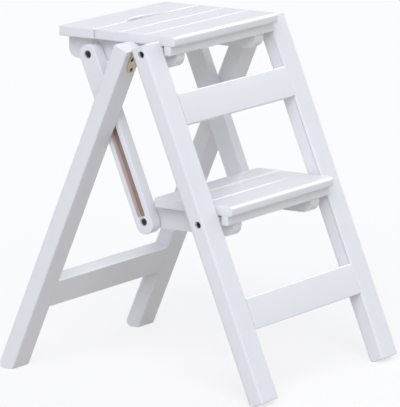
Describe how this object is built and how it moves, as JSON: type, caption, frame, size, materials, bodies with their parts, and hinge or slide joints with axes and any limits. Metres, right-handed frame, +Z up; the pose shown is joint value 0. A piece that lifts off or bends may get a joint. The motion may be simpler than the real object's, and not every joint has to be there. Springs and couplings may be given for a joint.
{
  "type": "folding step stool chair",
  "caption": "White-painted wooden folding stool: a planked seat with hand-hold, a lower step, hinged A-frame legs and grooved links that fold it flat.",
  "frame": {"origin": "on the floor at the middle of the footprint, halfway between the toes of the stiles and the heels of the rear legs", "axes": "+X to the right seen from the front, across the width; -Y to the front, where the user steps up; +Z up"},
  "size_m": [0.382, 0.4686, 0.52],
  "materials": {
    "painted_wood": "white satin paint",
    "dowel_wood": "bare beech, glued",
    "brass_leaf": "satin",
    "brass_pin": "bright",
    "zinc_screw": "zinc plated",
    "steel_pin": "ground",
    "white_nylon": "moulded",
    "dark_steel": "dark oxide"
  },
  "bodies": {
    "front_frame": {"front_rail_dowels": "dowel_wood", "hinge_pins": "brass_pin", "lower_rail": "painted_wood", "seat_pivot_bolts": "dark_steel", "seat_pivot_nuts": "dark_steel", "seat_pivot_spacers": "white_nylon", "seat_pivot_washers": "dark_steel", "step_pivot_bolts": "dark_steel", "step_pivot_nuts": "dark_steel", "step_pivot_spacers": "white_nylon", "step_pivot_washers": "dark_steel", "stile_hinge_leaf_left": "brass_leaf", "stile_hinge_leaf_right": "brass_leaf", "stile_leaf_screws": "brass_pin", "stile_left": "painted_wood", "stile_right": "painted_wood", "upper_rail": "painted_wood"},
    "rear_frame": {"guide_collars": "steel_pin", "guide_pins": "steel_pin", "leg_hinge_leaf_left": "brass_leaf", "leg_hinge_leaf_right": "brass_leaf", "leg_leaf_screws": "brass_pin", "rear_leg_left": "painted_wood", "rear_leg_right": "painted_wood", "rear_rail": "painted_wood", "rear_rail_dowels": "dowel_wood"},
    "seat": {"seat_apron": "painted_wood", "seat_cleat_left": "painted_wood", "seat_cleat_right": "painted_wood", "seat_link_bolts": "dark_steel", "seat_link_nuts": "dark_steel", "seat_link_washers": "dark_steel", "seat_panel": "painted_wood", "seat_rear_board": "painted_wood", "seat_screws": "zinc_screw"},
    "step": {"step_apron": "painted_wood", "step_cleat_left": "painted_wood", "step_cleat_right": "painted_wood", "step_link_bolts": "dark_steel", "step_link_nuts": "dark_steel", "step_link_washers": "dark_steel", "step_panel": "painted_wood", "step_screws": "zinc_screw"},
    "link_left": {"link_left": "painted_wood"},
    "link_right": {"link_right": "painted_wood"}
  },
  "joints": [
    {"name": "seat_fold", "type": "hinge", "parent": "front_frame", "child": "seat", "pos_m": [0, -0.02248, 0.4985], "axis": [1, 0, 0], "range_deg": [0, 60]},
    {"name": "step_fold", "type": "hinge", "parent": "front_frame", "child": "step", "pos_m": [0, -0.12083, 0.2575], "axis": [1, 0, 0], "range_deg": [0, 60]},
    {"name": "link_left_turn", "type": "hinge", "parent": "seat", "child": "link_left", "pos_m": [0, 0.10402, 0.4813], "axis": [1, 0, 0], "range_deg": [-60, 0]},
    {"name": "link_right_turn", "type": "hinge", "parent": "seat", "child": "link_right", "pos_m": [0, 0.10402, 0.4813], "axis": [1, 0, 0], "range_deg": [-60, 0]},
    {"name": "rear_frame_fold", "type": "hinge", "parent": "front_frame", "child": "rear_frame", "pos_m": [0, -0.00237, 0.5012], "axis": [1, 0, 0], "range_deg": [-45, 0]}
  ],
  "couplings": [
    {"joint": "step_fold", "follows": "seat_fold", "ratio": 1},
    {"joint": "link_left_turn", "follows": "seat_fold", "ratio": -1},
    {"joint": "link_right_turn", "follows": "seat_fold", "ratio": -1},
    {"joint": "rear_frame_fold", "follows": "seat_fold", "ratio": -0.75}
  ]
}
